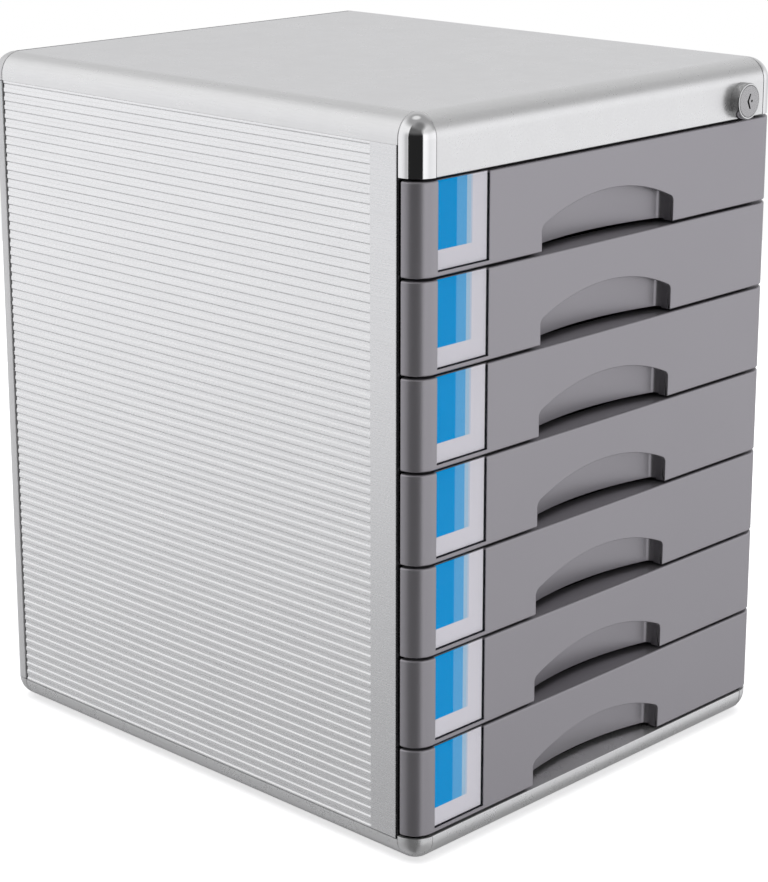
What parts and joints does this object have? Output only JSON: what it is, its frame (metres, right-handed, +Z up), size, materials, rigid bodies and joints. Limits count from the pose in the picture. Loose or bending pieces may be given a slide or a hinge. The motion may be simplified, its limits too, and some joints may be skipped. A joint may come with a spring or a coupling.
{
  "type": "desktop drawer cabinet",
  "caption": "Desktop drawer cabinet: ribbed aluminium case with rounded corner caps, shallow arched-grip drawers on runners with label windows, all locked by a key lock.",
  "frame": {"origin": "on the ground under the middle of the cabinet's box, lock bezel included", "axes": "+Z up, +X to the right seen from the front, -Y out of the front: the drawers open towards -Y"},
  "size_m": [0.304, 0.3558, 0.407],
  "materials": {
    "brushed_aluminium": "satin brushed",
    "ribbed_aluminium": "satin anodised, fine grooves",
    "chrome_cap": "bright chrome-plated moulding",
    "satin_silver": "satin silver paint",
    "dark_paint": "fine-textured dark powder coat",
    "drawer_grey": "warm grey satin lacquer",
    "tray_plastic": "moulded ABS, light texture",
    "label_card": "printed card, blue bands on white",
    "clear_window": "clear gloss plastic",
    "runner_nylon": "glass-filled nylon",
    "zinc_steel": "zinc plated",
    "lock_chrome": "satin chrome",
    "lock_steel": "satin nickel",
    "black_rubber": "soft black rubber"
  },
  "bodies": {
    "case": {"top_cover": "brushed_aluminium", "side_panel_left": "ribbed_aluminium", "side_panel_right": "ribbed_aluminium", "front_cap_left": "chrome_cap", "front_cap_right": "chrome_cap", "rear_panel": "dark_paint", "rear_post_left": "satin_silver", "rear_post_right": "satin_silver", "rear_top_cap_left": "chrome_cap", "rear_top_cap_right": "chrome_cap", "rear_base_cap_left": "satin_silver", "rear_base_cap_right": "satin_silver", "base_tray": "dark_paint", "base_front_rail": "satin_silver", "base_rear_rail": "satin_silver", "base_side_rail_left": "satin_silver", "base_side_rail_right": "satin_silver", "base_corner_left": "satin_silver", "base_corner_right": "satin_silver", "case_screws": "zinc_steel", "feet": "black_rubber", "side_frame_left": "dark_paint", "side_frame_right": "dark_paint", "runners_left": "runner_nylon", "runners_right": "runner_nylon", "lock_housing": "lock_chrome", "lock_nut": "zinc_steel"},
    "drawer_1": {"drawer_1_tray": "tray_plastic", "drawer_1_front": "drawer_grey", "drawer_1_label_card": "label_card", "drawer_1_label_cover": "clear_window"},
    "drawer_2": {"drawer_2_tray": "tray_plastic", "drawer_2_front": "drawer_grey", "drawer_2_label_card": "label_card", "drawer_2_label_cover": "clear_window"},
    "drawer_3": {"drawer_3_tray": "tray_plastic", "drawer_3_front": "drawer_grey", "drawer_3_label_card": "label_card", "drawer_3_label_cover": "clear_window"},
    "drawer_4": {"drawer_4_tray": "tray_plastic", "drawer_4_front": "drawer_grey", "drawer_4_label_card": "label_card", "drawer_4_label_cover": "clear_window"},
    "drawer_5": {"drawer_5_tray": "tray_plastic", "drawer_5_front": "drawer_grey", "drawer_5_label_card": "label_card", "drawer_5_label_cover": "clear_window"},
    "drawer_6": {"drawer_6_tray": "tray_plastic", "drawer_6_front": "drawer_grey", "drawer_6_label_card": "label_card", "drawer_6_label_cover": "clear_window"},
    "drawer_7": {"drawer_7_tray": "tray_plastic", "drawer_7_front": "drawer_grey", "drawer_7_label_card": "label_card", "drawer_7_label_cover": "clear_window"},
    "lock_cylinder": {"lock_plug": "lock_steel", "lock_cam": "zinc_steel", "lock_cam_screw": "zinc_steel"},
    "lock_bar": {"lock_bar": "zinc_steel", "lock_fingers": "zinc_steel"}
  },
  "joints": [
    {"name": "drawer_1_slide", "type": "slide", "parent": "case", "child": "drawer_1", "axis": [0, -1, 0], "range_m": [0, 0.24]},
    {"name": "drawer_2_slide", "type": "slide", "parent": "case", "child": "drawer_2", "axis": [0, -1, 0], "range_m": [0, 0.24]},
    {"name": "drawer_3_slide", "type": "slide", "parent": "case", "child": "drawer_3", "axis": [0, -1, 0], "range_m": [0, 0.24]},
    {"name": "drawer_4_slide", "type": "slide", "parent": "case", "child": "drawer_4", "axis": [0, -1, 0], "range_m": [0, 0.24]},
    {"name": "drawer_5_slide", "type": "slide", "parent": "case", "child": "drawer_5", "axis": [0, -1, 0], "range_m": [0, 0.24]},
    {"name": "drawer_6_slide", "type": "slide", "parent": "case", "child": "drawer_6", "axis": [0, -1, 0], "range_m": [0, 0.24]},
    {"name": "drawer_7_slide", "type": "slide", "parent": "case", "child": "drawer_7", "axis": [0, -1, 0], "range_m": [0, 0.24]},
    {"name": "lock_turn", "type": "hinge", "parent": "case", "child": "lock_cylinder", "pos_m": [0.1174, -0.1721, 0.3852], "axis": [0, -1, 0], "range_deg": [0, 90]},
    {"name": "lock_bar_slide", "type": "slide", "parent": "case", "child": "lock_bar", "axis": [0, 0, 1], "range_m": [0, 0.01132]}
  ],
  "couplings": [
    {"joint": "lock_turn", "follows": "lock_bar_slide", "rad_per_m": 138.76}
  ]
}
